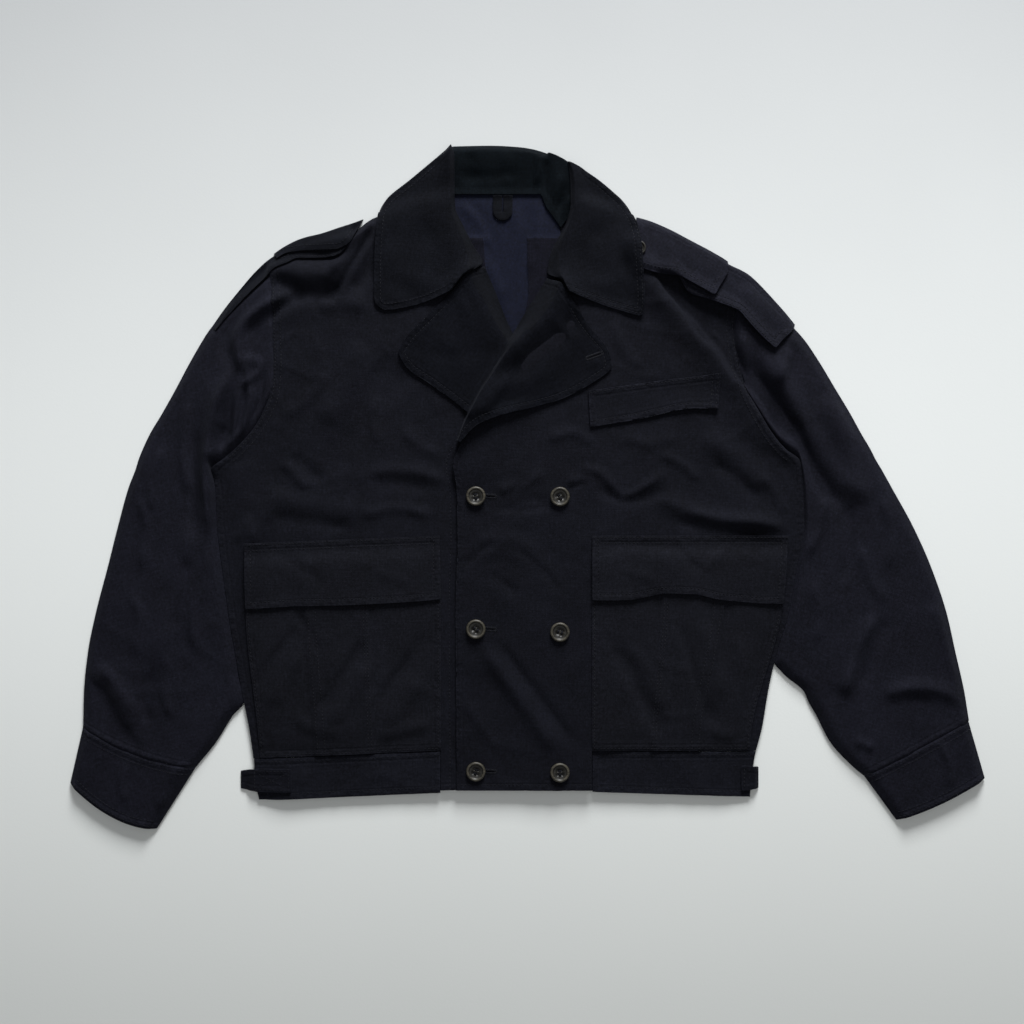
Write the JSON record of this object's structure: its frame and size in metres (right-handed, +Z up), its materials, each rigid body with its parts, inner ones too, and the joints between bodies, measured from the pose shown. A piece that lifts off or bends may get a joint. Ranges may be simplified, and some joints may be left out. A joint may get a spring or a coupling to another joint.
{
  "type": "short double-breasted jacket",
  "caption": "Waist-length double-breasted cotton jacket with trench-coat collar, lapels, epaulettes and flap pockets, laid flat on its back.",
  "frame": {"origin": "on the surface that the jacket lies on, under the middle of its outline", "axes": "+Z up out of the surface, towards the fronts; +Y towards the collar; +X towards the wearer's left sleeve"},
  "size_m": [0.94, 0.702, 0.0252],
  "materials": {
    "shell": "matt plain-weave cotton, midnight navy",
    "collar": "matt plain-weave cotton, midnight navy",
    "lining": "smooth dark blue lining, slightly glossy",
    "horn": "polished dark grey-brown horn look"
  },
  "bodies": {
    "root": {"back": "shell", "back_band": "shell", "front_left": "shell", "front_right": "shell", "band_left": "shell", "band_right": "shell", "pocket_left": "shell", "pocket_right": "shell", "flap_left": "shell", "flap_right": "shell", "chest_flap": "shell", "saddle_left": "shell", "saddle_right": "shell", "epaulette_left": "shell", "epaulette_right": "shell", "side_tab_left": "shell", "side_tab_right": "shell", "sleeve_left": "shell", "sleeve_right": "shell", "cuff_left": "shell", "cuff_right": "shell", "lapel_left": "collar", "lapel_right": "collar", "collar_left": "collar", "collar_right": "collar", "collar_back": "collar", "collar_stand": "collar", "back_lining": "lining", "hanger_loop": "lining", "button_outer_1": "horn", "button_inner_1": "horn", "button_outer_2": "horn", "button_inner_2": "horn", "button_outer_3": "horn", "button_inner_3": "horn", "shoulder_button_left": "horn"}
  },
  "joints": []
}
